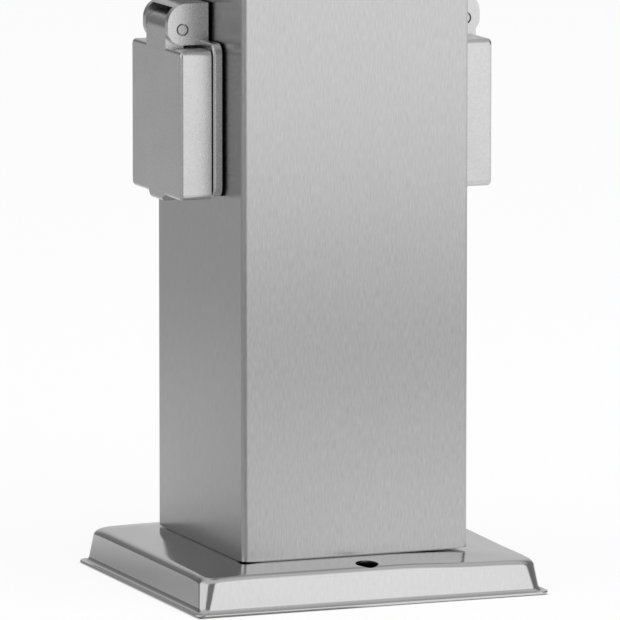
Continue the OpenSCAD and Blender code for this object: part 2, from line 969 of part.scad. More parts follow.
// Section of one earth clip: a strip that bows into the well
module clip_section() {
    reach = collar_face - 3;
    line = [[sleeve_front - clip_t, clip_r], [floor_face, clip_r],
        [(floor_face + reach) / 2, clip_r - 1.6], [reach - 1, clip_r], [reach, clip_r + 0.4]];
    count = len(line);
    polygon(concat(
        [for (i = [0:count - 1]) line[i] + [0, clip_t / 2]],
        [for (i = [count - 1:-1:0]) line[i] - [0, clip_t / 2]]));
}

// Earth contact: two clips, the bridge that joins them behind the floor, and a wire clamp
module earth_contact() {
    color("goldenrod")
        difference() {
            union() {
                for (z = [0, 1])
                    mirror([0, 0, z])
                        along_hinge(clip_w)
                            clip_section();
                translate([sleeve_front - clip_t, 0, 0])
                    rotate([0, 90, 0])
                        linear_extrude(clip_t) {
                            square([2 * clip_r + clip_t, clip_w], center = true);
                            circle(d = boss_d + 4);
                        }
                translate([clamp_back, -clamp_size / 2, -earth_drop - clamp_size / 2])
                    cube([sleeve_front - clamp_back, clamp_size, clamp_size]);
            }
            outward_rod(boss_d + 2 * slip, cover_back, floor_back);
            translate([0, 0, -earth_drop])
                clamp_screw_hole();
        }
}

// Hinge and lid

module hinge_pin() {
    color("silver")
        translate([pin_out, 0, pin_up])
            along_hinge(ear_span - 2 * seal_gap)
                circle(d = pin_d);
}

// Centre line of the torsion spring: a leg that runs back to the hood, then the coil, with
// the hinge pin as the second axis
spring_start = -spring_len / 2;
back_leg = [[ear_back + hood_t + 0.1 - pin_out, spring_start, -spring_r],
    [-spring_r, spring_start, -spring_r]];
coil_points = [for (i = [0:spring_turns * spring_steps])
    let (turn = 360 * i / spring_steps)
        [spring_r * sin(turn), spring_start + spring_pitch * i / spring_steps,
            -spring_r * cos(turn)]];
spring_line = concat(back_leg, coil_points);

// Least gap of the coil to itself, measured between its points
spring_gap = min([for (i = [0:len(coil_points) - 1])
    for (j = [i + spring_steps - 1:1:len(coil_points) - 1])
        norm(coil_points[i] - coil_points[j])]) - spring_wire;
echo(str("Least gap of the torsion spring to itself: ", spring_gap, " mm"));

// Direction of a line of points at one of them
function heading(line, i) =
    let (a = line[max(i - 1, 0)], b = line[min(i + 1, len(line) - 1)])
        (b - a) / norm(b - a);

// Ring of the tube round a point, in the plane across the line
function tube_ring(line, i, r, sides) =
    let (t = heading(line, i), s0 = cross(t, [0, 1, 0.01]), s = s0 / norm(s0), u = cross(t, s))
        [for (k = [0:sides - 1]) line[i] + r * (cos(360 * k / sides) * s
            + sin(360 * k / sides) * u)];

// Closed tube of flat sides along a line of points
module tube_along(line, r, sides) {
    count = len(line);
    points = [for (i = [0:count - 1]) each tube_ring(line, i, r, sides)];
    walls = [for (i = [0:count - 2], k = [0:sides - 1])
        each [[i * sides + k, i * sides + (k + 1) % sides, (i + 1) * sides + k],
            [i * sides + (k + 1) % sides, (i + 1) * sides + (k + 1) % sides,
                (i + 1) * sides + k]]];
    first = [for (k = [sides - 1:-1:0]) k];
    last = [for (k = [0:sides - 1]) (count - 1) * sides + k];
    polyhedron(points, concat([first], walls, [last]));
}

module hinge_spring() {
    color("gray")
        translate([pin_out, 0, pin_up])
            tube_along(spring_line, spring_wire / 2, spring_sides);
}

// Outline of the tongue and barrel, with the pin at the origin
module tongue_outline() {
    low = -pin_rise - lid_wall / 2;
    circle(barrel_r);
    polygon([[-tongue_back, low], [barrel_r, low], [barrel_r, 0], [0, 0],
        [-tongue_back, -barrel_r + tongue_back]]);
}

// Opening in the middle of the barrel that clears the spring and its back leg while the
// lid swings: directions are degrees up from straight back
module spring_pocket() {
    circle(pocket_r);
    polygon(concat([[0, 0]],
        [for (turn = [-52, -20, 20, 60, 92]) 1.6 * barrel_r * [-cos(turn), sin(turn)]]));
}

// Tab under the middle of the lid for a finger, flush with its face: it narrows downwards and
// its lower front edge is round
module finger_lip() {
    root = finger_w / 2;
    tip = root - finger_slope * finger_drop;
    low = -lid_h / 2 - finger_drop;
    intersection() {
        face_out()
            translate([0, 0, lid_face - finger_t])
                linear_extrude(finger_t)
                    polygon([[-tip, low], [tip, low], [root, -lid_h / 2],
                        [root, -lid_h / 2 + lid_wall], [-root, -lid_h / 2 + lid_wall],
                        [-root, -lid_h / 2]]);
        translate([lid_face, 0, low])
            along_hinge(finger_w) {
                translate([-finger_t, lid_edge])
                    square([finger_t, finger_drop + lid_wall]);
                translate([-finger_t, 0])
                    square([finger_t - lid_edge, lid_edge + over]);
                translate([-lid_edge, lid_edge])
                    circle(lid_edge);
            }
    }
}

module lid() {
    color("darkgray")
        difference() {
            union() {
                face_out()
                    translate([0, 0, lid_back])
                        rounded_slab(lid_w, lid_h, lid_depth, lid_corner, lid_edge);
                translate([pin_out, 0, pin_up])
                    along_hinge(tongue_w)
                        tongue_outline();
                finger_lip();
            }
            face_out()
                translate([0, 0, lid_back - over])
                    linear_extrude(lid_depth - lid_wall + over)
                        rounded_rect(lid_w - 2 * lid_wall, lid_h - 2 * lid_wall,
                            lid_corner - lid_wall / 2);
            translate([pin_out, 0, pin_up]) {
                along_hinge(tongue_w + 2 * over)
                    circle(d = barrel_bore_d);
                along_hinge(pocket_w)
                    spring_pocket();
            }
        }
}

// Rubber ring in the lid that closes on the collar
module lid_seal() {
    color("black")
        difference() {
            outward_rod(collar_d + 2 * seal_out, lid_inside - seal_t, lid_inside);
            outward_rod(collar_d - 2 * seal_in, lid_inside - seal_t - over, lid_inside + over);
        }
}

// The same pieces on the left and on the right face
module left_gasket() { on_side(-1) gasket(); }
module left_flange() { on_side(-1) flange(); }
module left_flange_screws() { on_side(-1) flange_screws(); }
module left_socket_insert() { on_side(-1) socket_insert(); }
module left_centre_screw() { on_side(-1) centre_screw(); }
module left_rear_cover() { on_side(-1) rear_cover(); }
module left_pin_contacts() { on_side(-1) pin_contacts(); }
module left_contact_screws() { on_side(-1) contact_screws(); }
module left_earth_contact() { on_side(-1) earth_contact(); }
module left_hinge_pin() { on_side(-1) hinge_pin(); }
module left_hinge_spring() { on_side(-1) hinge_spring(); }
module left_lid() { on_side(-1) lid(); }
module left_lid_seal() { on_side(-1) lid_seal(); }
module right_gasket() { on_side(1) gasket(); }
module right_flange() { on_side(1) flange(); }
module right_flange_screws() { on_side(1) flange_screws(); }
module right_socket_insert() { on_side(1) socket_insert(); }
module right_centre_screw() { on_side(1) centre_screw(); }
module right_rear_cover() { on_side(1) rear_cover(); }
module right_pin_contacts() { on_side(1) pin_contacts(); }
module right_contact_screws() { on_side(1) contact_screws(); }
module right_earth_contact() { on_side(1) earth_contact(); }
module right_hinge_pin() { on_side(1) hinge_pin(); }
module right_hinge_spring() { on_side(1) hinge_spring(); }
module right_lid() { on_side(1) lid(); }
module right_lid_seal() { on_side(1) lid_seal(); }

post_tube();
top_cap();
base_cover();
base_screws();
weld_nuts();
cable_grommet();
terminal_shelf();
terminal_block();
terminal_bars();
terminal_screws();
earth_stud();
earth_nut();
earth_ring();
earth_lead();
live_wires();
neutral_wires();
earth_wires();
left_gasket();
left_flange();
left_flange_screws();
left_socket_insert();
left_centre_screw();
left_rear_cover();
left_pin_contacts();
left_contact_screws();
left_earth_contact();
left_hinge_pin();
left_hinge_spring();
left_lid();
left_lid_seal();
right_gasket();
right_flange();
right_flange_screws();
right_socket_insert();
right_centre_screw();
right_rear_cover();
right_pin_contacts();
right_contact_screws();
right_earth_contact();
right_hinge_pin();
right_hinge_spring();
right_lid();
right_lid_seal();
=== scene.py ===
"""Garden socket post: camera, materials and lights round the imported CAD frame."""
import math

import bmesh
import bpy
from mathutils import Matrix, Vector
from mathutils.bvhtree import BVHTree
from mathutils.interpolate import poly_3d_calc


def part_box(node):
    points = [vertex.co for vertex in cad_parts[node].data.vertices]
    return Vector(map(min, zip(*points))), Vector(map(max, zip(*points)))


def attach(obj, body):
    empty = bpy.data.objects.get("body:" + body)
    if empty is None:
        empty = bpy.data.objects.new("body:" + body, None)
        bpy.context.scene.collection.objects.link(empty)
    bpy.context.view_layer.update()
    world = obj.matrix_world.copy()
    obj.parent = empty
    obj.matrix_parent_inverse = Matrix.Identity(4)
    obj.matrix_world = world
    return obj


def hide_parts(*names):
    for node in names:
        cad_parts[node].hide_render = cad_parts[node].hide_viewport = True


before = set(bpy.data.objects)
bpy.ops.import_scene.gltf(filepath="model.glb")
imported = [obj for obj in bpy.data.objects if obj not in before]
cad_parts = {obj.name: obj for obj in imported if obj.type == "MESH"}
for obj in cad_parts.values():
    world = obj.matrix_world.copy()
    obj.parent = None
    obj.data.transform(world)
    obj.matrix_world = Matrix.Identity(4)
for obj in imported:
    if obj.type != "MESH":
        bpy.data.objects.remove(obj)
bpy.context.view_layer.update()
scene = bpy.context.scene
MM = 0.001

# Camera, solved from the photograph
YAW, PITCH, ROLL = math.radians(21.48), math.radians(8.30), math.radians(0.03)
EYE = Vector((-1.1135, -2.8279, 0.5453))
FOCAL_PX, SIZE_PX = 8178.0, 620.0
SENSOR_MM = 36.0
NEAR, FAR = 0.05, 60.0


def add_camera():
    """The photograph's camera: YAW turns it from +Y towards +X, and PITCH tips it down."""
    look = Vector((math.sin(YAW) * math.cos(PITCH), math.cos(YAW) * math.cos(PITCH),
                   -math.sin(PITCH)))
    right = Vector((math.cos(YAW), -math.sin(YAW), 0.0))
    up = right.cross(look)
    camera = bpy.data.cameras.new("camera")
    camera.sensor_width = SENSOR_MM
    camera.lens = FOCAL_PX / SIZE_PX * SENSOR_MM
    camera.clip_start, camera.clip_end = NEAR, FAR
    obj = bpy.data.objects.new("camera", camera)
    scene.collection.objects.link(obj)
    turn = Matrix((right, up, -look)).transposed() @ Matrix.Rotation(ROLL, 3, "Z")
    obj.matrix_world = Matrix.Translation(EYE) @ turn.to_4x4()
    scene.camera = obj


add_camera()

# Node helpers
NOISE_SPAN = (0.3, 0.7)  # holds nearly all of a noise texture


class Graph:
    """A small wrapper round a material's or the world's node tree."""

    def __init__(self, tree):
        self.tree = tree
        tree.nodes.clear()

    def add(self, kind, inputs=None, **settings):
        """A new node with its settings, and with its inputs linked or set."""
        node = self.tree.nodes.new(kind)
        for key, value in settings.items():
            setattr(node, key, value)
        for name, value in (inputs or {}).items():
            if isinstance(value, bpy.types.NodeSocket):
                self.tree.links.new(value, node.inputs[name])
            else:
                node.inputs[name].default_value = value
        return node

    def math(self, operation, a, b=0.0):
        return self.add("ShaderNodeMath", {0: a, 1: b}, operation=operation).outputs[0]

    def length(self, a, b):
        squares = self.math("ADD", self.math("MULTIPLY", a, a), self.math("MULTIPLY", b, b))
        return self.math("POWER", squares, 0.5)

    def blend(self, a, b, share):
        """The sum of two values, of which the second one has the given share."""
        return self.math("ADD", self.math("MULTIPLY", a, 1 - share),
                         self.math("MULTIPLY", b, share))

    def position(self):
        return self.add("ShaderNodeTexCoord").outputs["Object"]

    def split(self, vector):
        return self.add("ShaderNodeSeparateXYZ", {0: vector}).outputs

    def scaled(self, vector, scale):
        return self.add("ShaderNodeMapping", {"Vector": vector, "Scale": scale}).outputs[0]

    def noise(self, vector, scale, detail=2.0, rough=0.5):
        inputs = {"Vector": vector, "Scale": scale, "Detail": detail, "Roughness": rough}
        return self.add("ShaderNodeTexNoise", inputs).outputs["Fac"]

    def ramp(self, share, stops):
        """Grey level at a share from 0 to 1, by stops of (share, level)."""
        node = self.add("ShaderNodeValToRGB", {"Fac": share})
        elements = node.color_ramp.elements
        while len(elements) < len(stops):
            elements.new(0.5)
        for element, (place, level) in zip(elements, stops):
            element.position = place
            element.color = grey(level)
        return node.outputs["Color"]

    def range(self, value, low, high, to_low, to_high):
        inputs = {"Value": value, "From Min": low, "From Max": high,
                  "To Min": to_low, "To Max": to_high}
        return self.add("ShaderNodeMapRange", inputs).outputs[0]

    def vary(self, noise, low, high):
        """A value that follows a noise texture between two limits."""
        return self.range(noise, *NOISE_SPAN, low, high)

    def about(self, value, share, noise):
        """A value that a noise texture varies up and down by a share of it."""
        return self.vary(noise, value * (1 - share), value * (1 + share))

    def mix(self, share, a, b):
        return self.add("ShaderNodeMix", {0: share, 6: a, 7: b}, data_type="RGBA").outputs[2]

    def bump(self, height, strength, distance):
        inputs = {"Height": height, "Strength": strength, "Distance": distance}
        return self.add("ShaderNodeBump", inputs).outputs[0]

    def surface(self, **inputs):
        """A principled shader on the surface; its inputs' names have _ for a space."""
        inputs = {name.replace("_", " "): value for name, value in inputs.items()}
        self.show(self.add("ShaderNodeBsdfPrincipled", inputs), "ShaderNodeOutputMaterial")

    def show(self, shader, output):
        self.add(output, {"Surface": shader.outputs[0]})


def grey(level):
    return (level, level, level, 1.0)


def tinted(tone, share):
    """A colour that has a share of the tone's brightness."""
    return tuple(share * channel for channel in tone) + (1.0,)


# Materials, with noise scales in cells per metre and bump distances in metres
BRUSHED_TONE, BRUSHED_ROUGH, BRUSHED_SPREAD = 0.60, 0.25, 0.80
STREAKS, LONG_STREAKS = (2000.0, 250.0), (420.0, 36.0)  # across and along the brushing
LONG_SHARE = 0.1
WALL_GRAIN = (2000.0, 300.0)  # across and along the grain
SAND, PEBBLES, PEBBLE_SHARE = 2600.0, 900.0, 0.4
SKIN_DEPTH, CAST_DEPTH = 0.1 * MM, 0.12 * MM
LATHE_MARKS = 1500.0
RIM_SHADE_START, RIM_SHADE_END = 0.84, 0.94  # shares of the pin's radius, over which its end darkens to painted shade
# Level of the painted shade at the pin's rim
PAINTED_RIM_SHADE_LEVEL = 0.12
STRIPES, STRIPE_EDGE = 60.0, 0.6
GREEN, YELLOW = (0.02, 0.16, 0.02), (0.55, 0.48, 0.02)


def material(name):
    made = bpy.data.materials.new(name)
    made.use_nodes = True
    return made, Graph(made.node_tree)


def streaked(graph, at, cells, axis, **look):
    """Noise that is drawn out along one axis, from its cells across and along that axis."""
    scale = [cells[1] if letter == axis else cells[0] for letter in "XYZ"]
    return graph.noise(graph.scaled(at, scale), 1.0, **look)


def brushed(name, axis="Z"):
    """Brushed steel with short streaks along an axis, which spread its reflections sideways."""
    steel, graph = material(name)
    at = graph.position()
    streak = graph.blend(streaked(graph, at, STREAKS, axis, detail=3.0, rough=0.6),
                         streaked(graph, at, LONG_STREAKS, axis), LONG_SHARE)
    cloud = graph.noise(at, 14.0)
    tangent = graph.add("ShaderNodeTangent", direction_type="RADIAL", axis=axis)
    graph.surface(
        Base_Color=graph.math("MULTIPLY", graph.about(BRUSHED_TONE, 0.1, streak),
                              graph.about(1.0, 0.01, cloud)),
        Metallic=1.0, Anisotropic=BRUSHED_SPREAD,
        Roughness=graph.about(BRUSHED_ROUGH, 0.07, streak),
        Tangent=tangent.outputs[0], Normal=graph.bump(streak, 0.04, SKIN_DEPTH))
    return steel


def satin_sheet(name, tone, rough):
    """Bright pressed sheet: nearly a mirror, with a faint upright grain on its walls."""
    sheet, graph = material(name)
    at = graph.position()
    grain = streaked(graph, at, WALL_GRAIN, "Z", detail=3.0, rough=0.6)
    cloud = graph.noise(at, 30.0, 3.0)
    graph.surface(
        Base_Color=graph.math("MULTIPLY", graph.about(tone, 0.03, grain),
                              graph.about(1.0, 0.02, cloud)),
        Metallic=1.0, Roughness=graph.vary(cloud, rough * 0.9, rough * 1.15),
        Normal=graph.bump(grain, 0.01, SKIN_DEPTH))
    return sheet


def cast(name, tone, rough):
    """Die-cast metal under a silver lacquer, with a fine sandy relief."""
    metal, graph = material(name)
    at = graph.position()
    sand = graph.noise(at, SAND, 3.0, 0.65)
    relief = graph.blend(sand, graph.noise(at, PEBBLES), PEBBLE_SHARE)
    cloud = graph.noise(at, 55.0, 3.0)
    graph.surface(
        Base_Color=graph.math("MULTIPLY", graph.about(tone, 0.08, relief),
                              graph.about(1.0, 0.03, cloud)),
        Metallic=1.0, Roughness=graph.about(rough, 0.1, sand),
        Normal=graph.bump(relief, 0.25, CAST_DEPTH))
    return metal


def plain_metal(name, tone, rough=0.35):
    """Bare turned or stamped metal."""
    metal, graph = material(name)
    at = graph.position()
    lathe = graph.noise(at, LATHE_MARKS, 3.0, 0.6)
    cloud = graph.noise(at, 120.0)
    graph.surface(
        Base_Color=graph.mix(cloud, tinted(tone, 0.9), tinted(tone, 1.0)),
        Metallic=1.0, Roughness=graph.vary(lathe, rough * 0.85, rough * 1.2),
        Normal=graph.bump(lathe, 0.08, SKIN_DEPTH))
    return metal


def pin_with_painted_rim_shade(name, tone, rough, pin_box):
    """Steel pin with painted shade on its chamfered rim; its box gives its axis and radius."""
    metal, graph = material(name)
    at = graph.position()
    low, high = pin_box
    radius = (high.z - low.z) / 2
    x, _, z = graph.split(at)
    off_x = graph.math("SUBTRACT", graph.math("ABSOLUTE", x), abs(low.x + high.x) / 2)
    off_z = graph.math("SUBTRACT", z, (low.z + high.z) / 2)
    # Painted shade: the pin's end darkens towards its chamfered rim
    painted_rim_shade = graph.range(graph.length(off_x, off_z), radius * RIM_SHADE_START, radius * RIM_SHADE_END,
                      1.0, PAINTED_RIM_SHADE_LEVEL)
    lathe = graph.noise(at, LATHE_MARKS, 3.0, 0.6)
    graph.surface(
        Base_Color=graph.math("MULTIPLY", graph.about(tone, 0.08, lathe), painted_rim_shade),
        Metallic=1.0, Roughness=graph.vary(lathe, rough * 0.85, rough * 1.2))
    return metal


def moulded(name, tone, rough=0.5, grain=1200.0, depth=0.15, specular=0.5):
    """Moulded plastic or rubber with a fine skin and slightly uneven colour."""
    plastic, graph = material(name)
    at = graph.position()
    skin = graph.noise(at, grain, rough=0.6)
    cloud = graph.noise(at, 60.0)
    graph.surface(
        Base_Color=graph.mix(cloud, tinted(tone, 0.85), tinted(tone, 1.1)),
        Roughness=graph.about(rough, 0.1, skin),
        Normal=graph.bump(skin, depth, SKIN_DEPTH), Specular_IOR_Level=specular)
    return plastic


def insulation(name, tone):
    """Smooth soft plastic on a wire."""
    return moulded(name, tone, rough=0.35, grain=300.0, depth=0.05)


def striped(name):
    """Green insulation with a yellow stripe."""
    plastic, graph = material(name)
    at = graph.position()
    wave = graph.add("ShaderNodeTexWave", {"Vector": at, "Scale": STRIPES},
                     wave_type="BANDS", bands_direction="DIAGONAL")
    stripe = graph.math("GREATER_THAN", wave.outputs["Fac"], STRIPE_EDGE)
    graph.surface(Base_Color=graph.mix(stripe, tinted(GREEN, 1.0), tinted(YELLOW, 1.0)),
                  Roughness=graph.vary(graph.noise(at, 300.0), 0.3, 0.4))
    return plastic


post_metal = brushed("post_brushed_steel")
cap_metal = brushed("cap_brushed_steel", axis="Y")
base_metal = satin_sheet("base_bright_steel", 0.77, 0.17)
cast_metal = cast("cast_silver", 0.77, 0.28)
plain_steel = plain_metal("plain_steel", (0.42, 0.42, 0.42))
pin_steel = pin_with_painted_rim_shade("pin_steel", 0.70, 0.3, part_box("left_hinge_pin"))
brass = plain_metal("brass", (0.68, 0.50, 0.22), 0.3)
# Partly the rubber's own black and partly painted shade: darker and less glossy than rubber, to
# stand for the shadow in the gap round the gasket
rubber_with_painted_shade = moulded("black_rubber", (0.003, 0.003, 0.003), 0.85, specular=0.05)
dark_plastic = moulded("socket_plastic", (0.035, 0.035, 0.038), 0.45)
block_plastic = moulded("block_plastic", (0.62, 0.61, 0.57), 0.4)
brown = insulation("brown_insulation", (0.09, 0.035, 0.015))
blue = insulation("blue_insulation", (0.02, 0.08, 0.32))
green_yellow = striped("earth_insulation")

finishes = {
    "post_tube": post_metal, "top_cap": cap_metal, "base_cover": base_metal,
    "cable_grommet": rubber_with_painted_shade, "terminal_block": block_plastic, "terminal_bars": brass,
    "earth_lead": green_yellow, "earth_wires": green_yellow, "live_wires": brown,
    "neutral_wires": blue,
}
side_finishes = {
    "gasket": rubber_with_painted_shade, "flange": cast_metal, "socket_insert": dark_plastic,
    "rear_cover": dark_plastic, "pin_contacts": brass, "earth_contact": brass,
    "lid": cast_metal, "lid_seal": rubber_with_painted_shade, "hinge_pin": pin_steel,
}
for name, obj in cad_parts.items():
    part = name.split("_", 1)[1] if name.startswith(("left_", "right_")) else name
    chosen = finishes.get(name) or side_finishes.get(part) or plain_steel
    obj.data.materials.clear()
    obj.data.materials.append(chosen)

# Pressed pan, which stands for the base cover

# Sizes that are the CAD's own
PAN_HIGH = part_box("base_cover")[1]
POST_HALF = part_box("post_tube")[1].x
PAN_SHEET = 1.0 * MM
LIP_WIDTH, LIP_CORNER = 2.4 * MM, 4.0 * MM
WALL_HALF = (PAN_HIGH.x - LIP_WIDTH, PAN_HIGH.y - LIP_WIDTH)
INLET_R = 12.0 * MM
GROUND_HOLE_IN, GROUND_HOLE_R = 9.0 * MM, 4.3 * MM  # in from the front and back edges
SCREW_HOLE_IN, SCREW_HOLE_R = 10.0 * MM, 2.7 * MM  # in from the post's outer faces

# Sizes that are fitted to the photograph
WALL_LEAN, TOP_LEAN = math.radians(5.5), math.radians(6.5)
SHOULDER, CROWN, FILLET, LIP_ROUND = 3.0 * MM, 30.0 * MM, 2.2 * MM, 0.25 * MM
FOOT_CORNER, CORNER_RATE = 3.6 * MM, 0.2  # the corner's radius grows with height
SEAT_MARGIN = 0.4 * MM
SEAT_IN = WALL_HALF[1] - POST_HALF - SEAT_MARGIN
CORNER_DROP = 0.6 * MM
# The photographed pan sags a little towards its right front corner
SAG, SAG_START, SAG_END = 1.3 * MM, POST_HALF - 9.0 * MM, POST_HALF + 14.0 * MM

ARC_STEPS, RUN_STEPS, CORNER_STEPS, SIDE_STEPS = 12, 6, 14, 20
CUTTER_SIDES, CUTTER_LENGTH, CUTTER_Z = 48, 40.0 * MM, 10.0 * MM
# A normal is looked up this far outside its face, and has to agree with the face's own
PROBE, SAME_FACE = 0.01 * MM, 0.75


def arc(centre, radius, start, end, steps):
    """Points (inset, height) on an arc, from one angle to the other."""
    angles = [start + (end - start) * step / steps for step in range(steps + 1)]
    return [(centre[0] + radius * math.cos(angle), centre[1] + radius * math.sin(angle))
            for angle in angles]


def between(start, end, steps):
    """Points (inset, height) inside a straight run, without its ends."""
    shares = [step / steps for step in range(1, steps)]
    return [(start[0] + (end[0] - start[0]) * share, start[1] + (end[1] - start[1]) * share)
            for share in shares]


def pan_profile(depth):
    """Section (inset from the foot of the wall, height) of the skin that lies depth below."""
    top = PAN_HIGH.z
    wall_run, top_rise = math.tan(WALL_LEAN), math.tan(TOP_LEAN)
    # The slope would reach the seat's height at bend_in; the shoulder touches slope and wall
    bend_in = SEAT_IN - CROWN * math.tan(TOP_LEAN / 2)
    below_slope = SHOULDER / math.cos(TOP_LEAN)
    shoulder_in = ((wall_run * (top - top_rise * bend_in - below_slope)
                    + SHOULDER / math.cos(WALL_LEAN)) / (1 - wall_run * top_rise))
    shoulder_z = top + top_rise * (shoulder_in - bend_in) - below_slope
    if depth:
        foot = [(depth / math.cos(WALL_LEAN), 0.0)]
    else:
        fillet_z = PAN_SHEET + FILLET
        fillet_in = fillet_z * wall_run - FILLET / math.cos(WALL_LEAN)
        foot = arc((fillet_in, fillet_z), FILLET, -math.pi / 2, -WALL_LEAN, ARC_STEPS)
    shoulder = arc((shoulder_in, shoulder_z), SHOULDER - depth, math.pi - WALL_LEAN,
                   math.pi / 2 + TOP_LEAN, ARC_STEPS)
    crown = arc((SEAT_IN, top - CROWN), CROWN - depth, math.pi / 2 + TOP_LEAN, math.pi / 2,
                ARC_STEPS // 2)
    return foot + shoulder + between(shoulder[-1], crown[0], RUN_STEPS) + crown


def rounded_ring(half, corner, height):
    """One loop round the pan: a rectangle with round corners."""
    points = []
    for turn in range(4):
        across, along = half if turn % 2 == 0 else half[::-1]
        spin = Matrix.Rotation(math.radians(90 * turn), 3, "Z")
        for step in range(SIDE_STEPS):
            run = -1 + 2 * step / SIDE_STEPS
            points.append(spin @ Vector((across, run * (along - corner), height)))
        for step in range(CORNER_STEPS):
            angle = math.radians(90 * step / CORNER_STEPS)
            points.append(spin @ Vector((across - corner + corner * math.cos(angle),
                                         along - corner + corner * math.sin(angle), height)))
    return points


def smooth(value, low, high):
    """0 below low, 1 above high and an even S curve between them."""
    share = min(max((value - low) / (high - low), 0.0), 1.0)
    return share * share * (3 - 2 * share)


def lowered(ring, height):
    """The loop as pressed: it falls away near the corners, most at the right front."""
    share = min(max(height / PAN_HIGH.z, 0.0), 1.0)
    for point in ring:
        corner = (CORNER_DROP * smooth(abs(point.x), POST_HALF, WALL_HALF[0])
                  * smooth(abs(point.y), POST_HALF, WALL_HALF[1]))
        front = smooth(-point.y, SAG_START, SAG_END) * smooth(point.x, POST_HALF / 4, POST_HALF)
        right = smooth(point.x, SAG_START, SAG_END) * smooth(-point.y, -POST_HALF / 2, POST_HALF)
        point.z = height - share * (corner + SAG * (front + right - front * right))
    return ring


def lip_rings():
    """Loops round the edge of the lip, from its under side to its top."""
    levels = ((LIP_ROUND, 0.0), (0.0, LIP_ROUND), (0.0, PAN_SHEET - LIP_ROUND),
              (LIP_ROUND, PAN_SHEET))
    return [rounded_ring((PAN_HIGH.x - inset, PAN_HIGH.y - inset), LIP_CORNER - inset, height)
            for inset, height in levels]


def skin_rings(depth):
    """Loops from the foot of the wall up to the post's seat, on the skin that lies depth below."""
    rings = []
    for inset, height in pan_profile(depth):
        half = WALL_HALF[0] - inset, WALL_HALF[1] - inset
        corner = FOOT_CORNER + CORNER_RATE * height - min(inset, 0.0) - depth
        rings.append(lowered(rounded_ring(half, corner, height), height))
    return rings


def inlet_ring(like, height):
    """The loop round the cable inlet, with a point for each one of another loop."""
    return [Vector((point.x, point.y, 0)).normalized() * INLET_R + Vector((0, 0, height))
            for point in like]


def pan_rings():
    """All loops: from the lip's under edge over the top to the inlet, and back below."""
    outer, inner = skin_rings(0.0), skin_rings(PAN_SHEET)
    inlet = [inlet_ring(outer[-1], PAN_HIGH.z), inlet_ring(inner[-1], PAN_HIGH.z - PAN_SHEET)]
    return lip_rings() + outer + inlet + inner[::-1]


def closed_mesh(name, rings):
    """A smooth closed mesh through the loops, whose last one joins on to the first."""
    count = len(rings[0])
    faces = []
    for row in range(len(rings)):
        low, high = row * count, (row + 1) % len(rings) * count
        for step in range(count):
            after = (step + 1) % count
            faces.append((low + step, low + after, high + after, high + step))
    mesh = bpy.data.meshes.new(name)
    mesh.from_pydata([point for ring in rings for point in ring], [], faces)
    mesh.polygons.foreach_set("use_smooth", [True] * len(mesh.polygons))
    mesh.update()
    return mesh


def pan_holes():
    """Middle and radius of the two ground holes and the four screw holes."""
    ground, screw = PAN_HIGH.y - GROUND_HOLE_IN, POST_HALF - SCREW_HOLE_IN
    return [(0.0, y * ground, GROUND_HOLE_R) for y in (-1, 1)] + [
        (x * screw, y * screw, SCREW_HOLE_R) for x in (-1, 1) for y in (-1, 1)]


def cut_hole(obj, x, y, radius):
    bpy.ops.mesh.primitive_cylinder_add(vertices=CUTTER_SIDES, radius=radius,
                                        depth=CUTTER_LENGTH, location=(x, y, CUTTER_Z))
    cutter = bpy.context.object
    cut = obj.modifiers.new("hole", "BOOLEAN")
    cut.operation, cut.object, cut.solver = "DIFFERENCE", cutter, "EXACT"
    bpy.context.view_layer.objects.active = obj
    bpy.ops.object.modifier_apply(modifier=cut.name)
    bpy.data.objects.remove(cutter, do_unlink=True)


def smooth_normals(mesh, whole):
    """Gives a cut mesh the shading of the whole one, apart from the walls of its cuts."""
    shell = bmesh.new()
    shell.from_mesh(whole)
    bmesh.ops.triangulate(shell, faces=shell.faces)
    tree = BVHTree.FromBMesh(shell)
    shell.faces.ensure_lookup_table()
    normals = []
    for face in mesh.polygons:
        for index in face.vertices:
            at = mesh.vertices[index].co
            near, _, hit, _ = tree.find_nearest(at + face.normal * PROBE)
            corners = shell.faces[hit].verts
            weights = poly_3d_calc([corner.co for corner in corners], near)
            normal = sum((corner.normal * weight for corner, weight in zip(corners, weights)),
                         Vector())
            normal.normalize()
            agrees = normal.dot(face.normal) > SAME_FACE
            normals.append(normal if agrees else face.normal.copy())
    mesh.normals_split_custom_set(normals)
    shell.free()


def make_pan():
    mesh = closed_mesh("pressed_pan", pan_rings())
    whole = mesh.copy()
    obj = bpy.data.objects.new("pressed_pan", mesh)
    scene.collection.objects.link(obj)
    for hole in pan_holes():
        cut_hole(obj, *hole)
    smooth_normals(obj.data, whole)
    bpy.data.meshes.remove(whole)
    obj.data.materials.clear()
    obj.data.materials.append(base_metal)
    return obj


pan = make_pan()
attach(pan, "stand")
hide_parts("base_cover")

# Studio, as its reflections in the post and the base show it, with painted light and shade in the
# floor's glow

# Levels by bearing, in degrees from the front (-Y) and positive to the left (-X)
WALLS = ((-180, 0.46), (-165, 0.52), (-155, 0.58), (-145, 0.52), (-130, 0.20), (-50, 0.18),
         (-36, 1.0), (2, 1.0), (8, 0.20), (50, 0.20), (56, 0.85), (120, 0.85),
         (127, 0.13), (150, 0.13), (158, 0.16), (168, 0.20), (180, 0.46))
# Painted shade in the floor's glow, as reflections show it
FLOOR_SHADE = ((-180, 1.0), (2, 1.0), (9, 0.30), (50, 0.30), (57, 0.45), (120, 0.45),
               (128, 0.45), (146, 0.6), (155, 1.0), (180, 1.0))

# How much the front's levels count against the back's, by the same bearing
WALLS_FACING = ((-180, 0.0), (-120, 0.0), (-60, 1.0), (60, 1.0), (120, 0.0), (180, 0.0))
FLOOR_FACING = ((-180, 0.3), (-130, 0.5), (-60, 0.9), (-40, 1.0), (27, 1.0), (90, 0.5),
                (130, 0.0), (170, 0.0), (180, 0.3))

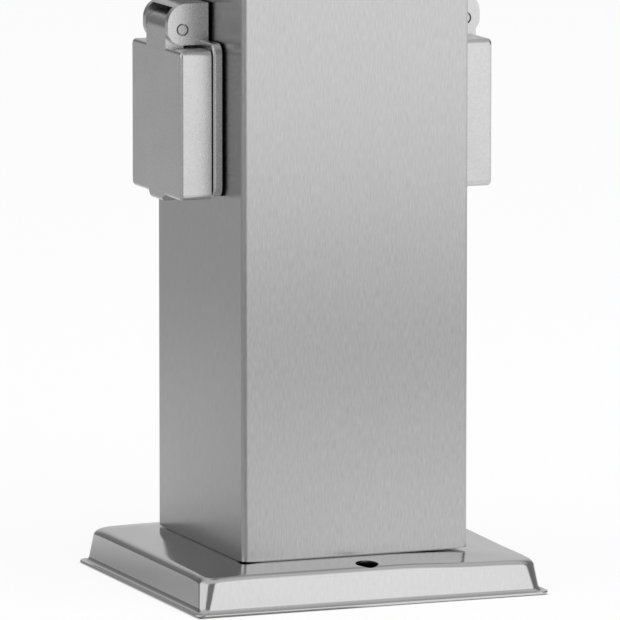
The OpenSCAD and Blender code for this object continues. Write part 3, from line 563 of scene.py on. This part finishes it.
# Levels by height, which is the upward share of a direction
HEIGHT_FRONT = ((0.0, 1.0), (0.08, 0.92), (0.16, 0.84), (0.34, 0.98), (0.59, 0.86), (0.79, 0.70),
                (0.93, 0.55), (1.0, 0.46))
HEIGHT_BACK = ((0.0, 1.0), (0.42, 1.0), (0.60, 0.85), (1.0, 0.75))
CEILING, CEILING_START, CEILING_END = 0.52, 0.60, 0.88

# Levels by distance on the floor, in metres from the middle of the post: painted pools of light
# and shade in its glow
FLOOR_FRONT = ((0.0, 0.62), (0.25, 0.62), (0.45, 0.57), (0.62, 0.42), (0.85, 0.45),
               (1.1, 0.61), (1.4, 0.84), (2.0, 0.90))
FLOOR_BACK = ((0.0, 0.32), (0.12, 0.36), (0.17, 0.46), (0.21, 0.56), (0.3, 0.54), (0.5, 0.46),
              (0.8, 0.32), (1.2, 0.31), (1.6, 0.27), (2.0, 0.26))
FLOOR_REACH = 2.0

FLOOR_HALF, FLOOR_DROP = 12.0, 0.4 * MM
FLOOR_GREY, FLOOR_WHITE = 0.35, 0.82  # under the lamps, and as a glow to the camera
PAN_SHADE = 2.0 * MM  # width of the band of painted shadow in which the floor's glow fades under the pan's edge
FILL = 0.35  # the world's level for the rays that see neither white nor the studio
LAMP_TARGET = Vector((0.0, 0.0, 0.1))


def by_bearing(graph, x, y, stops):
    """Level by bearing, for a direction or a place with these coordinates."""
    turn = graph.math("ARCTAN2", graph.math("MULTIPLY", x, -1.0), graph.math("MULTIPLY", y, -1.0))
    share = graph.math("ADD", graph.math("DIVIDE", turn, 2 * math.pi), 0.5)
    return graph.ramp(share, [(degrees / 360 + 0.5, level) for degrees, level in stops])


def by_distance(graph, share, stops):
    """Level by distance on the floor, which comes as a share of FLOOR_REACH."""
    return graph.ramp(share, [(distance / FLOOR_REACH, level) for distance, level in stops])


def white_and_seen(graph):
    """Two masks: the rays that see white, and all rays that see either white or the studio."""
    rays = graph.add("ShaderNodeLightPath").outputs
    white = graph.math("MAXIMUM", rays["Is Camera Ray"], rays["Is Transmission Ray"])
    return white, graph.math("MAXIMUM", white, rays["Is Glossy Ray"])


def painted_pan_shadow_mask(graph, x, y):
    """1 outside the pan and 0 under it: painted shade, so the floor there is dark as seen through
    the holes.
    """
    past = [graph.range(graph.math("ABSOLUTE", place), edge - PAN_SHADE, edge, 0.0, 1.0)
            for place, edge in ((x, PAN_HIGH.x), (y, PAN_HIGH.y))]
    return graph.math("MAXIMUM", *past)


def floor_look():
    """White to the camera, a plain grey to the lamps, and in reflections a glow with painted light
    and shade.
    """
    look, graph = material("floor")
    white, seen = white_and_seen(graph)
    x, y, _ = graph.split(graph.position())
    share = graph.math("DIVIDE", graph.length(x, y), FLOOR_REACH)
    levels = graph.mix(by_bearing(graph, x, y, FLOOR_FACING),
                       by_distance(graph, share, FLOOR_BACK),
                       by_distance(graph, share, FLOOR_FRONT))
    # Painted light and shade: the floor's glow in reflections varies by distance and bearing
    studio = graph.math("MULTIPLY", levels, by_bearing(graph, x, y, FLOOR_SHADE))
    lit = graph.add("ShaderNodeBsdfDiffuse", {"Color": grey(FLOOR_GREY)})
    glow = graph.add("ShaderNodeEmission", {
        "Color": graph.mix(white, studio, grey(FLOOR_WHITE)),
        # The glow is cut by painted shade under the pan and a painted shadow along its edge
        "Strength": graph.math("MULTIPLY", seen, painted_pan_shadow_mask(graph, x, y))})
    both = graph.add("ShaderNodeAddShader", {0: lit.outputs[0], 1: glow.outputs[0]})
    graph.show(both, "ShaderNodeOutputMaterial")
    return look


def make_floor():
    mesh = bpy.data.meshes.new("floor")
    corners = [(x * FLOOR_HALF, y * FLOOR_HALF, 0)
               for x, y in ((-1, -1), (1, -1), (1, 1), (-1, 1))]
    mesh.from_pydata(corners, [], [(0, 1, 2, 3)])
    mesh.materials.append(floor_look())
    obj = bpy.data.objects.new("floor", mesh)
    obj.location.z = -FLOOR_DROP
    scene.collection.objects.link(obj)
    return obj


def add_world():
    """White where it is seen, the studio in reflections, and an even fill for all other rays."""
    world = bpy.data.worlds.new("studio")
    scene.world = world
    world.use_nodes = True
    graph = Graph(world.node_tree)
    white, seen = white_and_seen(graph)
    x, y, z = graph.split(graph.add("ShaderNodeTexCoord").outputs["Generated"])
    height = graph.mix(by_bearing(graph, x, y, WALLS_FACING), graph.ramp(z, HEIGHT_BACK),
                       graph.ramp(z, HEIGHT_FRONT))
    walls = graph.math("MULTIPLY", by_bearing(graph, x, y, WALLS), height)
    overhead = graph.range(z, CEILING_START, CEILING_END, 0.0, 1.0)
    studio = graph.mix(overhead, walls, grey(CEILING))
    colour = graph.mix(seen, grey(FILL), graph.mix(white, studio, grey(1.0)))
    graph.show(graph.add("ShaderNodeBackground", {"Color": colour}), "ShaderNodeOutputWorld")


def area_light(name, place, size, power):
    """A soft box turned to the post, which lights it but doesn't show in its reflections."""
    light = bpy.data.lights.new(name, "AREA")
    light.shape = "RECTANGLE"
    light.size, light.size_y = size
    light.energy = power
    obj = bpy.data.objects.new(name, light)
    obj.location = place
    obj.visible_glossy = False
    obj.rotation_mode = "QUATERNION"
    obj.rotation_quaternion = (LAMP_TARGET - Vector(place)).to_track_quat("-Z", "Y")
    scene.collection.objects.link(obj)


floor = make_floor()
add_world()
area_light("front_softbox", (0.9, -2.0, 3.0), size=(3.6, 3.0), power=24.0)
area_light("left_softbox", (-2.6, -0.4, 2.8), size=(2.6, 2.6), power=8.0)

scene.view_settings.view_transform = "Standard"
